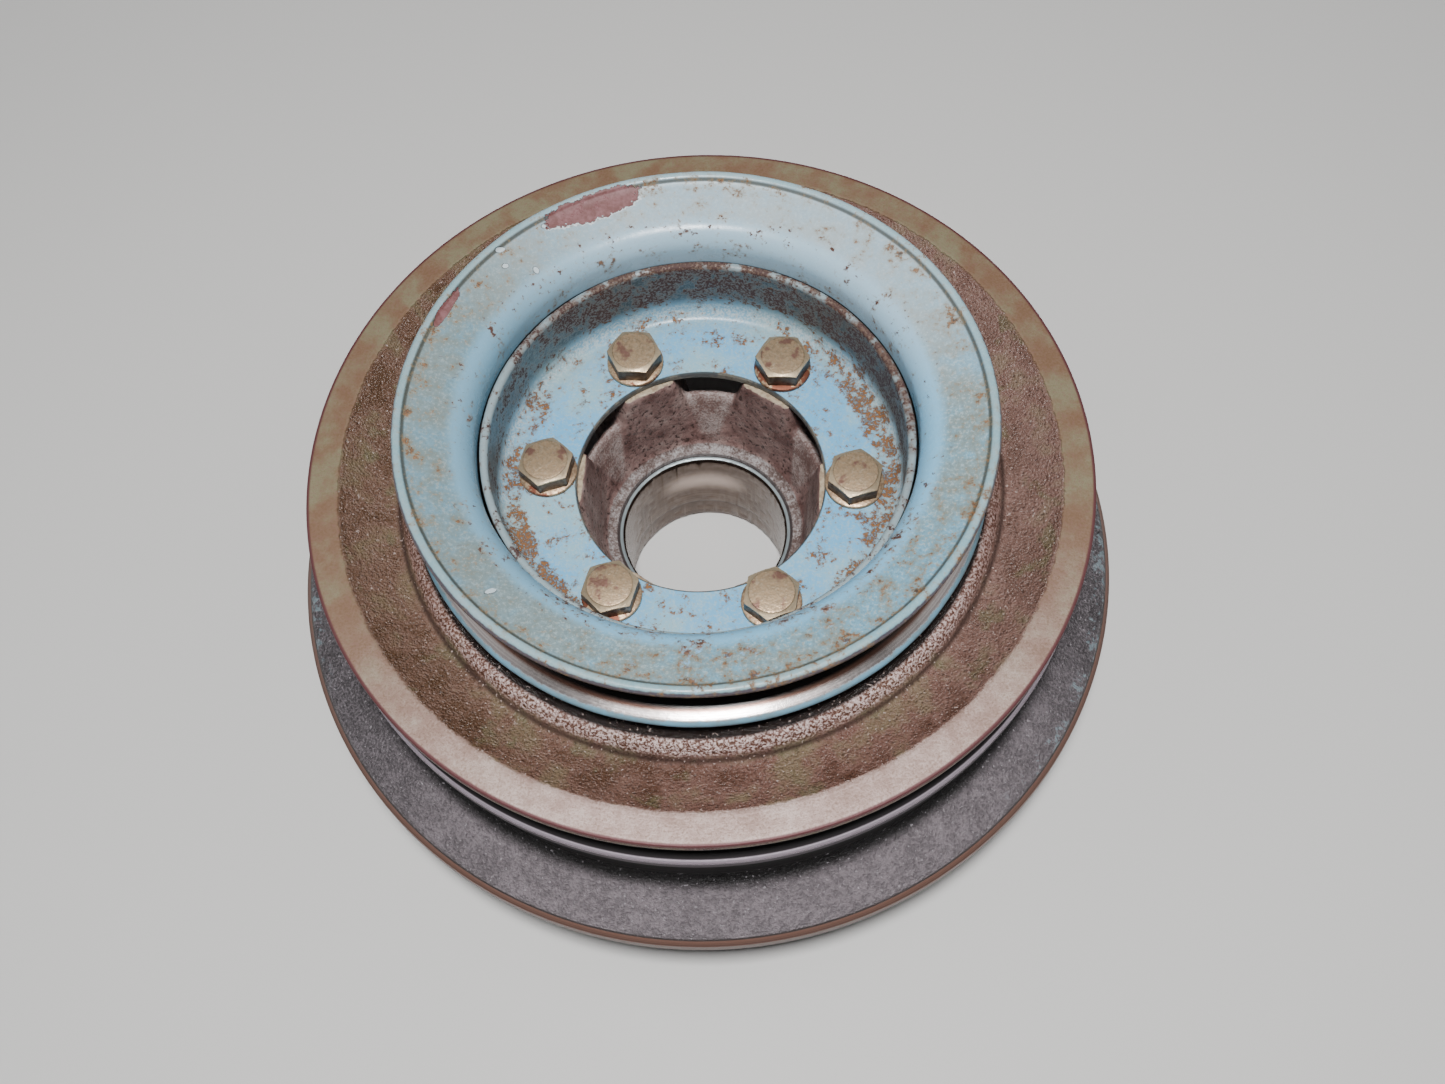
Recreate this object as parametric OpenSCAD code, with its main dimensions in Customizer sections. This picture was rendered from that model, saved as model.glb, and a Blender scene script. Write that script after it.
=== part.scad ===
// Stacked crankshaft V-belt pulley.
// A two-groove cast pulley carries a pressed-steel single-groove pulley on six bolts.
// Origin: centre of the crank bore at the hub's rear face. +Z points to the bolt heads.

/* [Crank bore and hub] */
// Diameter of the crank bore
bore_d = 35; // [30:0.5:38]
// Length of the hub, from its rear face to the ring that the crank bolt's washer bears on
hub_len = 26; // [22:0.5:28]
// Outside diameter of the ground seal journal at the rear
journal_d = 48; // [46:0.5:50]
// Length of the seal journal
journal_len = 17; // [12:0.5:18]
// Depth of the slightly larger lead-in at the rear of the bore
lead_len = 7; // [4:0.5:10]
// Width of the keyway
keyway_w = 5; // [4:0.5:6]
// Depth of the keyway below the bore wall
keyway_depth = 2.3; // [1.8:0.1:2.6]

/* [Cast rim] */
// Outside diameter of the grooved rim
rim_d = 156; // [154:0.5:158]
// Height of the machined front face above the hub's rear face
rim_face_z = 58; // [57.5:0.1:58.5]
// Radial width of the machined band on the front face
face_band_w = 6.2; // [4:0.1:7]
// Opening of each cast groove at the rim
groove_open = 9.1; // [8.5:0.1:9.6]
// Depth of each cast groove
groove_depth = 10; // [9:0.1:10.5]
// Half angle of every V groove
groove_half_angle = 18; // [16:0.5:19]
// Thickness of the land in front of the first groove
front_land = 2.2; // [1.6:0.1:2.6]
// Thickness of the ridge between the two cast grooves
ridge_w = 3.7; // [3:0.1:4.2]

/* [Rear disc] */
// Outside diameter of the rear disc
disc_d = 176.8; // [174:0.2:180]
// Height of the rear disc's underside above the hub's rear face
disc_bottom_z = 18.5; // [17.5:0.1:19]
// Thickness of the rear disc at its edge
disc_edge = 4.6; // [4:0.1:5]

/* [Arms and pads] */
// Number of arms, pads and bolts
arm_count = 6; // [6:1:6]
// Height of the machined pads above the hub's rear face
pad_z = 48; // [47.5:0.1:48.5]
// Half of the angle that each pad covers
arm_half_angle = 13; // [11:0.5:14]
// Draft angle of the arms' sides
arm_draft = 15; // [10:1:16]
// Bolt circle diameter
bolt_circle_d = 62.5; // [61.5:0.1:63]

/* [Pressed pulley] */
// Outside diameter of the pressed pulley's flanges
sheave_d = 114; // [112:0.5:116]
// Overall height, from the hub's rear face to the front lip
total_h = 77; // [76.5:0.1:77.5]
// Sheet thickness of the two sheave halves
sheet_t = 1.8; // [1.4:0.1:2]
// Inside radius of the neck at the bottom of the groove
neck_r = 42.8; // [42.6:0.1:43]
// Radius of the rolled lips
lip_r = 1.1; // [0.95:0.05:1.2]
// Height of the rear lip's centre above the hub's rear face
rear_lip_z = 60.7; // [60.4:0.1:61]

/* [Mounting cup] */
// Sheet thickness of the cup
cup_t = 1.8; // [1.4:0.1:2]
// Outside radius of the cup's wall
cup_r = 42.5; // [42.2:0.1:42.5]
// Height of the cup's free edge above the hub's rear face
cup_edge_z = 66; // [64:0.5:67]
// Radius of the centre hole in the cup's web
web_hole_r = 25.3; // [24.6:0.1:25.6]
// Outside radius of the bend between wall and web
cup_bend_r = 4.5; // [3.5:0.1:5]

/* [Bolts and washers] */
// Thread diameter
bolt_d = 6; // [5.8:0.1:6]
// Width across the flats of the head
head_af = 10; // [9.8:0.1:10]
// Height of the head
head_h = 4; // [3.6:0.1:4.4]
// Length of the shank under the washer
shank_len = 16; // [12:0.5:16]
// Outside diameter of the washer
washer_d = 12; // [11.5:0.1:12.4]
// Thickness of the washer
washer_t = 1.2; // [0.8:0.1:1.6]

/* [Hidden] */

ROUND = 96;               // facets of every true round
ARC_STEPS = 6;            // straight steps in each rounded corner of a section
CLEAR = 0.05;             // radial clearance of the bolts in the tapped holes
BIG = 200;                // longer than the part, for cutters

bore_r = bore_d / 2;
rim_r = rim_d / 2;
disc_r = disc_d / 2;
journal_r = journal_d / 2;
sheave_r = sheave_d / 2;
bolt_circle_r = bolt_circle_d / 2;
groove_slope = tan(groove_half_angle);

// Casting, behind the front face
land_z = rim_face_z - front_land;
ridge_top_z = land_z - groove_open;
ridge_bottom_z = ridge_top_z - ridge_w;
groove2_rear_z = ridge_bottom_z - groove_open;
groove_r = rim_r - groove_depth;
rear_land_r = rim_r - 2.2;             // the rear flange stands a little lower than the ridge
rear_land_z = 29.5;                    // where the rear flange runs into the disc
cavity_r = 61;                         // wall of the hollow behind the rim
web_under_z = 45;                      // underside of the front web
boss_in_r = 47.6;                      // inner edge of the raised boss ring
boss_out_r = 59.6;                     // outer edge of the raised boss ring
boss_z = 55.4;                         // top of the boss ring
dish_z = 52.3;                         // bottom of the rough dish between boss and band
band_in_r = rim_r - face_band_w;       // inner edge of the machined band
foot_r = 2;                            // fillet at the foot of the boss ring
foot_sweep_end = 290;                  // where the fillet passes into the dish's slope
dish_turn = 11;                        // half of how far the dish's slope turns on its way up
dish_in_r = boss_out_r + 2.2 + foot_r * cos(foot_sweep_end);
dish_in_z = dish_z + foot_r + foot_r * sin(foot_sweep_end);
dish_out_r = band_in_r - 0.2;
dish_out_z = rim_face_z - 0.1;
dish_rise = atan2(dish_out_z - dish_in_z, dish_out_r - dish_in_r);
dish_curve_r = norm([dish_out_r - dish_in_r, dish_out_z - dish_in_z]) / (2 * sin(dish_turn));
dish_c_r = dish_in_r - dish_curve_r * sin(dish_rise - dish_turn);
dish_c_z = dish_in_z + dish_curve_r * cos(dish_rise - dish_turn);

// Fasteners
head_turns = [20, 1, 0, 21, 17, 24];   // how far round each bolt head stopped

// Hub ring and the crown of arms above it
ring_out_r = 21.6;                     // outer edge of the ring around the bore
ring_step_r = bore_r + 1.2;            // outer edge of the bright inner band
ring_step_h = 0.5;                     // drop from the rough ring to the bright band
crown_out_r = 28.4;                    // outside of the wall between the arms, at its foot
crown_top_r = 27.2;                    // outside of the same wall, at its top
crown_foot_z = 33;                     // where the wall rises from the hub
valley_z = 41;                         // top of the wall between the arms
valley_r = 25.3;                       // inner edge of the wall's top

// Stack on the pads
web_top_z = pad_z + cup_t;
washer_top_z = web_top_z + washer_t;
bend_c_r = cup_r - cup_bend_r;
bend_c_z = pad_z + cup_bend_r;
clearance_hole_r = 3.3;                // holes in the cup's web
tapped_depth = 14.5;                   // depth of the tapped holes below the pads

// Section of the front sheave half
lip_c_r = sheave_r - lip_r;
front_lip_z = total_h - lip_r;
flank_top_z = total_h - 0.7;           // front surface of the flank, at the lip's inner crease
crease_r = lip_c_r - lip_r;
neck_bend_r = 5;                       // radius of the bend from flank to neck
neck_bend_c_r = neck_r + neck_bend_r;
neck_bend_x = neck_bend_c_r - neck_bend_r * sin(groove_half_angle);
neck_bend_c_z = flank_top_z - (crease_r - neck_bend_x) * groove_slope
    - neck_bend_r * cos(groove_half_angle);
neck_end_z = 56;                       // rear end of the neck
joggle_z = 62.5;                       // below this the neck closes onto the cup
sheet_drop = sheet_t / cos(groove_half_angle);

// Section of the rear sheave half
collar_r = neck_r + sheet_t;           // inside of the collar, on the neck
collar_end_z = 57;                     // rear end of the collar
rear_flank_z = rear_lip_z + 0.9;       // front surface of the flank, at the lip
rear_flank_top_z = rear_flank_z + (lip_c_r - collar_r - sheet_t) * groove_slope;

// Points of an arc in a section, from angle a0 to a1
function arc(cr, cz, r, a0, a1, steps = ARC_STEPS) =
    [for (i = [0:steps]) [cr + r * cos(a0 + (a1 - a0) * i / steps), cz + r * sin(a0 + (a1 - a0) * i / steps)]];

module revolve() {
    rotate_extrude($fn = ROUND) children();
}

module at_bolt(i) {
    rotate([0, 0, (i - 1) * 360 / arm_count]) translate([bolt_circle_r, 0, 0]) children();
}

// ---- Cast pulley ----

// Hub tube with the seal journal, the bearing ring and the low wall between the arms
module hub_section() {
    journal_chamfer = 1;
    polygon([
        [bore_r, 0.6], [bore_r + 0.6, 0], [journal_r - journal_chamfer, 0], [journal_r, journal_chamfer],
        [journal_r, journal_len], [journal_r + 1.5, journal_len + 1.5], [27.5, 28],
        [crown_out_r, crown_foot_z], [crown_top_r, valley_z - 0.7], [crown_top_r - 0.7, valley_z],
        [valley_r + 0.5, valley_z],
        [valley_r, valley_z - 0.8], [22.6, 31], [ring_out_r, hub_len + 1.5], [ring_out_r - 0.8, hub_len + 0.8],
        [ring_step_r + 0.4, hub_len + ring_step_h], [ring_step_r, hub_len], [bore_r + 0.3, hub_len],
        [bore_r, hub_len - 0.3]
    ]);
}

// Front web, grooved rim and rear disc
module rim_section() {
    edge = 0.4;
    disc_top_z = disc_bottom_z + disc_edge;
    polygon(concat(
        [[boss_in_r, web_under_z], [boss_in_r, boss_z - 1.2]],
        arc(boss_in_r + 1.2, boss_z - 1.2, 1.2, 180, 90),
        arc(boss_out_r - 2, boss_z - 2, 2, 90, 20),
        arc(boss_out_r + 2.2, dish_z + foot_r, foot_r, 210, foot_sweep_end),
        arc(dish_c_r, dish_c_z, dish_curve_r, 270 + dish_rise - dish_turn, 270 + dish_rise + dish_turn),
        [[band_in_r, rim_face_z], [rim_r - edge, rim_face_z], [rim_r, rim_face_z - edge], [rim_r, land_z]],
        [[groove_r, land_z - groove_depth * groove_slope], [groove_r, ridge_top_z + groove_depth * groove_slope]],
        [[rim_r - edge, ridge_top_z + edge * groove_slope], [rim_r, ridge_top_z - edge]],
        [[rim_r, ridge_bottom_z + edge], [rim_r - edge, ridge_bottom_z - edge * groove_slope]],
        [[groove_r, ridge_bottom_z - groove_depth * groove_slope]],
        [[groove_r, groove2_rear_z + groove_depth * groove_slope]],
        [[rear_land_r, groove2_rear_z + (rim_r - rear_land_r) * groove_slope], [rear_land_r, rear_land_z]],
        arc(rear_land_r + 3, rear_land_z, 3, 180, 250),
        arc(disc_r - 2.4, disc_top_z - 0.6, 0.8, 75, 45, 3),
        [[disc_r - 0.1, disc_top_z - 1.6], [disc_r, disc_bottom_z + edge], [disc_r - edge, disc_bottom_z]],
        [[cavity_r + 1, disc_bottom_z], [cavity_r, disc_bottom_z + 1]],
        arc(cavity_r - 4, web_under_z - 4, 4, 0, 90)
    ));
}

// Side view of one arm, from the hub to the boss ring
module arm_profile() {
    reach = boss_in_r + 2;
    polygon([
        [ring_out_r - 0.2, hub_len - 2], [ring_out_r - 0.2, hub_len + 1.4], [24, pad_z], [39.5, pad_z],
        [41, pad_z - 1.5], [reach, pad_z - 1.5], [reach, web_under_z + 0.2], [44, web_under_z - 2],
        [34, 34], [28.5, 27], [26, hub_len - 2]
    ]);
}

// One drafted side of an arm: everything on the arm's side of a tilted plane
module arm_side(side) {
    rotate([0, 0, side * arm_half_angle])
        translate([0, 0, pad_z])
            rotate([side * arm_draft, 0, 0])
                translate([-BIG / 2, side > 0 ? -BIG : 0, -BIG / 2])
                    cube([BIG, BIG, BIG]);
}

module arm() {
    arm_w = 60;
    intersection() {
        translate([0, arm_w / 2, 0]) rotate([90, 0, 0]) linear_extrude(height = arm_w) arm_profile();
        arm_side(1);
        arm_side(-1);
    }
}

module pulley_casting() {
    lead_step = 0.3;
    color("#6b5a45")
        difference() {
            union() {
                revolve() hub_section();
                revolve() rim_section();
                for (i = [1:arm_count]) rotate([0, 0, (i - 1) * 360 / arm_count]) arm();
            }
            translate([0, 0, -1]) cylinder(r = bore_r + lead_step, h = lead_len + 1, $fn = ROUND);
            translate([-keyway_w / 2, -bore_r - keyway_depth, -1]) cube([keyway_w, bore_r, hub_len + 2]);
            for (i = [1:arm_count])
                at_bolt(i) translate([0, 0, pad_z - tapped_depth])
                    cylinder(r = bolt_d / 2 + CLEAR, h = tapped_depth + 1, $fn = ROUND);
        }
}

// ---- Pressed pulley ----

module cup_section() {
    edge_r = cup_t / 2;
    polygon(concat(
        [[web_hole_r + 0.3, pad_z], [bend_c_r, pad_z]],
        arc(bend_c_r, bend_c_z, cup_bend_r, 270, 360),
        arc(cup_r - edge_r, cup_edge_z - edge_r, edge_r, 0, 180),
        arc(bend_c_r, bend_c_z, cup_bend_r - cup_t, 360, 270),
        [[web_hole_r, web_top_z], [web_hole_r, pad_z + 0.3]]
    ));
}

module mounting_cup() {
    color("#8db9c9")
        difference() {
            revolve() cup_section();
            for (i = [1:arm_count])
                at_bolt(i) translate([0, 0, pad_z - 1])
                    cylinder(r = clearance_hole_r, h = cup_t + 2, $fn = ROUND);
        }
}

module front_half_section() {
    outer_r = neck_r + sheet_t;
    bend_under = neck_bend_r - sheet_t;
    polygon(concat(
        [[cup_r, neck_end_z], [cup_r, joggle_z], [neck_r, joggle_z + 1]],
        arc(neck_bend_c_r, neck_bend_c_z, neck_bend_r, 180, 90 + groove_half_angle),
        [[crease_r - 0.1, flank_top_z - 0.1]],
        arc(lip_c_r, front_lip_z, lip_r, 155, -110, 14),
        arc(neck_bend_c_r, neck_bend_c_z, bend_under, 90 + groove_half_angle, 180),
        [[outer_r, joggle_z + 1], [outer_r, neck_end_z]]
    ));
}

module front_sheave_half() {
    color("#86aab4") revolve() front_half_section();
}

module rear_half_section() {
    bend = 1.6;
    under_z = rear_flank_top_z - sheet_drop;
    polygon(concat(
        [[collar_r, collar_end_z], [collar_r, rear_flank_top_z - bend]],
        arc(collar_r + bend, rear_flank_top_z - bend, bend, 180, 90 - groove_half_angle),
        arc(lip_c_r, rear_lip_z, lip_r, 80, -150, 14),
        [[lip_c_r - lip_r, rear_flank_z - sheet_drop + lip_r * groove_slope + 0.2]],
        [[collar_r + sheet_t + 0.6, under_z - 0.1], [collar_r + sheet_t, under_z - 0.8]],
        [[collar_r + sheet_t, collar_end_z]]
    ));
}

module rear_sheave_half() {
    color("#5f94ab") revolve() rear_half_section();
}

// ---- Fasteners ----

// Slightly coned spring washer
module washer(i) {
    bore = bolt_d / 2 + 0.25;
    outer = washer_d / 2;
    cone = 0.25;
    color("#b08a5e")
        at_bolt(i) translate([0, 0, web_top_z])
            revolve() polygon([
                [bore, 0], [outer - 0.2, 0], [outer, 0.2], [outer, washer_t - cone - 0.3],
                [outer - 0.3, washer_t - cone], [head_af / 2, washer_t], [bore, washer_t]
            ]);
}

// Hexagon head bolt
module bolt(i) {
    corner_r = head_af / 2 / cos(30);
    cap_h = 0.5;
    color("#c2a878")
        at_bolt(i) translate([0, 0, washer_top_z]) rotate([0, 0, head_turns[i - 1]]) {
            intersection() {
                cylinder(r = corner_r, h = head_h, $fn = 6);
                revolve() polygon([
                    [0, 0], [corner_r, 0], [corner_r, head_h - cap_h - 0.6],
                    [head_af / 2 - 0.1, head_h - cap_h], [head_af / 2 - 0.5, head_h], [0, head_h]
                ]);
            }
            translate([0, 0, -shank_len])
                revolve() polygon([
                    [0, 0], [bolt_d / 2 - 0.8, 0], [bolt_d / 2, 0.8], [bolt_d / 2, shank_len + 0.5], [0, shank_len + 0.5]
                ]);
        }
}

pulley_casting();
mounting_cup();
front_sheave_half();
rear_sheave_half();
washer(1);  // washer_1
washer(2);  // washer_2
washer(3);  // washer_3
washer(4);  // washer_4
washer(5);  // washer_5
washer(6);  // washer_6
bolt(1);  // bolt_1
bolt(2);  // bolt_2
bolt(3);  // bolt_3
bolt(4);  // bolt_4
bolt(5);  // bolt_5
bolt(6);  // bolt_6
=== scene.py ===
import math

import bpy
from mathutils import Matrix, Vector


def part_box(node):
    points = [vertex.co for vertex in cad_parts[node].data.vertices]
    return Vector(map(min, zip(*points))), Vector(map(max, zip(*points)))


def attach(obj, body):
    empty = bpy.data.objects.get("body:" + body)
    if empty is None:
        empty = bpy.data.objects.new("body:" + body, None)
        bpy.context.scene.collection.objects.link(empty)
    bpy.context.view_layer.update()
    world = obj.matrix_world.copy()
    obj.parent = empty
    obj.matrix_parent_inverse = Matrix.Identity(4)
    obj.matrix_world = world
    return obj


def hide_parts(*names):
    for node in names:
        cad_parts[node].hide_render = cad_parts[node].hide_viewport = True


bl_info = {
    "name": "Stacked V-belt pulley",
    "version": (1, 0, 0),
    "blender": (4, 5, 0),
    "location": "3D View > Sidebar > Pulley",
    "description": "Models and finishes a cast and pressed-steel crankshaft pulley around its CAD frame",
    "category": "Object",
}

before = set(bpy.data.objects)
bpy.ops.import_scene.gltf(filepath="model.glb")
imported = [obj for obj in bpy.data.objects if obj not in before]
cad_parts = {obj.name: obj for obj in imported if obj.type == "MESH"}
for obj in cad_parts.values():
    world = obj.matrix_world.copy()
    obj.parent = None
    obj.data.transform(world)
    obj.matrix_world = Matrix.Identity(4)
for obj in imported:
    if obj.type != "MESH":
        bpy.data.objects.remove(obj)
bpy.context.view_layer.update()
BODY = "root"
MM = 0.001
MIN_FACES = 100  # a piece with fewer has gone wrong

# Fineness of the meshes: steps round the axis, and sides of a section and of a voxel in millimetres
ROUND_STEPS = 256
SHEAVE_STEPS = 320
RIM_STEPS = 400
WASHER_STEPS = 64
CAP_STEPS = 96
SHANK_SIDES = 48
SHEET_FINENESS = 1.6
RIM_FINENESS = 0.9
HUB_VOXEL = 0.64

# Relief of the surfaces in millimetres: width of the hub's grain and its height, width of the sheets' waves
HUB_GRAIN = 1.4
HUB_RELIEF = 0.3
CUP_WAVE = 14
SHEAVE_WAVE = 16


def span(node):
    """Lowest and highest corner of a CAD node, in millimetres."""
    low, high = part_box(node)
    return low / MM, high / MM


# Heights and radii that the frame fixes, in millimetres
_, CAST_HIGH = span("pulley_casting")
CUP_LOW, CUP_HIGH = span("mounting_cup")
FRONT_LOW, FRONT_HIGH = span("front_sheave_half")
REAR_LOW, _ = span("rear_sheave_half")
WASHER_LOW, WASHER_HIGH = span("washer_1")
BOLT_LOW, BOLT_HIGH = span("bolt_1")

DISC_R = CAST_HIGH.y
RIM_FACE_Z = CAST_HIGH.z
SHEAVE_R = FRONT_HIGH.x
TOTAL_H = FRONT_HIGH.z
CUP_R = CUP_HIGH.x
PAD_Z = CUP_LOW.z
WEB_TOP_Z = WASHER_LOW.z
WASHER_TOP_Z = WASHER_HIGH.z
BOLT_TOP_Z = BOLT_HIGH.z
BOLT_CIRCLE_R = (WASHER_LOW.x + WASHER_HIGH.x) / 2
WASHER_R = (WASHER_HIGH.x - WASHER_LOW.x) / 2

# Sizes of the casting, in millimetres, and the angle of its grooves in degrees
RIM_R = 78.0
BAND_IN_R = 71.8
LAND_Z = 55.8
GROOVE_OPEN = 9.1
GROOVE_DEPTH = 10.0
GROOVE_HALF_ANGLE = 18
GROOVE_SLOPE = math.tan(math.radians(GROOVE_HALF_ANGLE))
GROOVE_CORNER = 0.8
RIDGE_W = 3.7
RIDGE_TOP_Z = LAND_Z - GROOVE_OPEN
RIDGE_BOTTOM_Z = RIDGE_TOP_Z - RIDGE_W
BOSS_IN_R = 47.6
BOSS_OUT_R = 59.6
BOSS_Z = 55.4
DISH_Z = 52.3
FOOT_R = 2.0
CAVITY_R = 61.0
WEB_UNDER_Z = 45.0
REAR_LAND_R = 75.8
REAR_LAND_Z = 29.5
DISC_BOTTOM_Z = 18.5
DISC_TOP_Z = 23.1
BORE_R = 17.5
LEAD_R = 17.8
LEAD_LEN = 7.0
KEYWAY_W = 5.0
KEYWAY_IN_R = 5.2
KEYWAY_OUT_R = 19.8
HUB_LEN = 26.0
HUB_OUT_R = 49.0
RING_STEP_R = 18.7
RING_OUT_R = 21.6

# Sizes of the pressings and fasteners, in millimetres
SHEET_T = 1.8
FIT_GAP = 0.02
NECK_R = 42.8
LIP_R = 1.1
CREASE_R = SHEAVE_R - 2 * LIP_R
FLANK_DROP = 0.7
REAR_LIP_Z = 60.7
JOGGLE_Z = 62.5
WEB_HOLE_R = 25.3
CUP_BEND_R = 4.5
HEAD_FLAT_R = 5.0
SHANK_R = 3.0
WEB_CLEARANCE_R = 3.3

# How far each bolt's head is turned, in degrees
BOLT_TURNS = (20, 1, 0, 21, 17, 24)
BOLT_COUNT = len(BOLT_TURNS)

# Knocks near the front lip, in millimetres: their places and half sizes on the front face
DINGS = (
    ((-41.2, 35.6), (1.2, 0.6)),
    ((-40.1, 32.4), (0.8, 0.6)),
    ((-34.1, 32.7), (0.7, 0.9)),
    ((-33.2, 42.2), (0.9, 0.5)),
    ((-33.7, -38.4), (1.2, 0.6)),
)


# ---- Small helpers ----


def linear(hex_colour):
    """A colour given as sRGB hex, as the linear RGBA that shaders take."""
    channels = [int(hex_colour[i : i + 2], 16) / 255 for i in (1, 3, 5)]
    low = [c / 12.92 if c <= 0.04045 else ((c + 0.055) / 1.055) ** 2.4 for c in channels]
    return (*low, 1.0)


def arc(centre_r, centre_z, radius, start, end, steps=8):
    """Points of a rounded corner in a section, from angle start to end in degrees."""
    points = []
    for i in range(steps + 1):
        angle = math.radians(start + (end - start) * i / steps)
        points.append((centre_r + radius * math.cos(angle), centre_z + radius * math.sin(angle)))
    return points


def finer(section, longest):
    """The same section with no side longer than the given length."""
    points = []
    for i, (r, z) in enumerate(section):
        next_r, next_z = section[(i + 1) % len(section)]
        parts = max(1, math.ceil(math.hypot(next_r - r, next_z - z) / longest))
        for part in range(parts):
            share = part / parts
            points.append((r + (next_r - r) * share, z + (next_z - z) * share))
    return points


def deselect():
    """Nothing selected, as an operator acts on all that is."""
    bpy.ops.object.select_all(action="DESELECT")


def edit(piece, select_all=True):
    """Opens a piece in edit mode, as the only selected object."""
    deselect()
    piece.select_set(True)
    bpy.context.view_layer.objects.active = piece
    bpy.ops.object.mode_set(mode="EDIT")
    bpy.ops.mesh.select_all(action="SELECT" if select_all else "DESELECT")


def close_edit():
    """Back to object mode, which writes the edited mesh."""
    bpy.ops.object.mode_set(mode="OBJECT")


def make_active(piece):
    """Makes a piece the active object and the only selected one."""
    deselect()
    piece.select_set(True)
    bpy.context.view_layer.objects.active = piece


def place_at_origin(piece):
    """Moves a piece's place into its mesh, as a CAD node's is."""
    make_active(piece)
    bpy.ops.object.transform_apply(location=True, rotation=True, scale=True)


def apply_modifier(piece, kind, **settings):
    """Adds one modifier with its settings and applies it."""
    make_active(piece)
    modifier = piece.modifiers.new(kind.title(), kind)
    for name, value in settings.items():
        setattr(modifier, name, value)
    bpy.ops.object.modifier_apply(modifier=modifier.name)


def smooth(piece, angle=35):
    """Smooth shading, apart from edges sharper than an angle in degrees."""
    make_active(piece)
    bpy.ops.object.shade_smooth_by_angle(angle=math.radians(angle))


def spin_section(name, section, steps=ROUND_STEPS):
    """A closed ring: one vertex is extruded round the section, which is then spun about the axis."""
    deselect()
    first_r, first_z = section[0]
    bpy.ops.mesh.primitive_plane_add(size=MM, location=(first_r * MM, 0, first_z * MM))
    piece = bpy.context.object
    piece.name = name
    place_at_origin(piece)
    edit(piece)
    bpy.ops.mesh.merge(type="CENTER")
    for (r0, z0), (r1, z1) in zip(section, section[1:]):
        step = ((r1 - r0) * MM, 0, (z1 - z0) * MM)
        bpy.ops.mesh.extrude_vertices_move(TRANSFORM_OT_translate={"value": step})
    bpy.ops.mesh.select_all(action="SELECT")
    close_edit()
    # The last vertex is joined to the first, which closes the section
    ends = (0, len(piece.data.vertices) - 1)
    edit(piece, select_all=False)
    close_edit()
    for index in ends:
        piece.data.vertices[index].select = True
    bpy.ops.object.mode_set(mode="EDIT")
    bpy.ops.mesh.edge_face_add()
    bpy.ops.mesh.select_all(action="SELECT")
    bpy.ops.mesh.spin(steps=steps, angle=math.tau, center=(0, 0, 0), axis=(0, 0, 1), use_auto_merge=True)
    bpy.ops.mesh.select_all(action="SELECT")
    bpy.ops.mesh.remove_doubles(threshold=0.01 * MM)
    bpy.ops.mesh.normals_make_consistent(inside=False)
    close_edit()
    return piece


def group_where(piece, name, weight_at):
    """A vertex group whose weight a rule gives from each vertex's radius and height in millimetres."""
    group = piece.vertex_groups.new(name=name)
    for vertex in piece.data.vertices:
        radius = vertex.co.xy.length / MM
        weight = weight_at(radius, vertex.co.z / MM)
        if weight > 0:
            group.add([vertex.index], weight, "REPLACE")


def roughen(piece, grain_mm, height_mm, group=""):
    """Real relief from a cloud pattern of the given grain and height."""
    texture = bpy.data.textures.new(f"{piece.name}_relief", "CLOUDS")
    texture.noise_scale = grain_mm * MM
    texture.noise_depth = 1
    apply_modifier(
        piece,
        "DISPLACE",
        texture=texture,
        texture_coords="LOCAL",
        strength=height_mm * MM,
        mid_level=0.5,
        vertex_group=group,
    )


def finish_piece(piece, material, slot, *nodes):
    """Gives a piece its material and puts it in its CAD nodes' place, if it was modelled whole."""
    if len(piece.data.polygons) < MIN_FACES:
        raise RuntimeError(f"{piece.name} came out with too few faces")
    piece.data.materials.clear()
    piece.data.materials.append(material)
    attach(piece, BODY)
    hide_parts(*nodes)


# ---- Materials ----


def add_node(tree, kind, inputs=None, stops=None, **settings):
    """Adds one node. An input is a value, or a socket to link from; stops fill a colour ramp."""
    node = tree.nodes.new(kind)
    for name, value in settings.items():
        setattr(node, name, value)
    for key, value in (inputs or {}).items():
        if isinstance(value, bpy.types.NodeSocket):
            tree.links.new(value, node.inputs[key])
        else:
            node.inputs[key].default_value = value
    if stops:
        elements = node.color_ramp.elements
        while len(elements) < len(stops):
            elements.new(1.0)
        for element, (place, colour) in zip(elements, stops):
            element.position = place
            element.color = linear(colour)
    return node


def new_material(name):
    """A new material with its node tree and its shader."""
    material = bpy.data.materials.new(name)
    material.use_nodes = True
    tree = material.node_tree
    return material, tree, tree.nodes["Principled BSDF"]


def wire(tree, shader, colour, roughness, metallic=None, normal=None):
    """Links a finished material's patterns to its shader."""
    tree.links.new(colour, shader.inputs["Base Color"])
    tree.links.new(roughness, shader.inputs["Roughness"])
    if metallic is not None:
        tree.links.new(metallic, shader.inputs["Metallic"])
    if normal is not None:
        tree.links.new(normal, shader.inputs["Normal"])


def where(tree):
    """The point in object space, its distance from the axis and its height, in metres."""
    coords = add_node(tree, "ShaderNodeTexCoord").outputs["Object"]
    flat = add_node(tree, "ShaderNodeVectorMath", {0: coords, 1: (1, 1, 0)}, operation="MULTIPLY")
    radius = add_node(tree, "ShaderNodeVectorMath", {0: flat.outputs[0]}, operation="LENGTH")
    height = add_node(tree, "ShaderNodeSeparateXYZ", {0: coords})
    return coords, radius.outputs["Value"], height.outputs["Z"]


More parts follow.
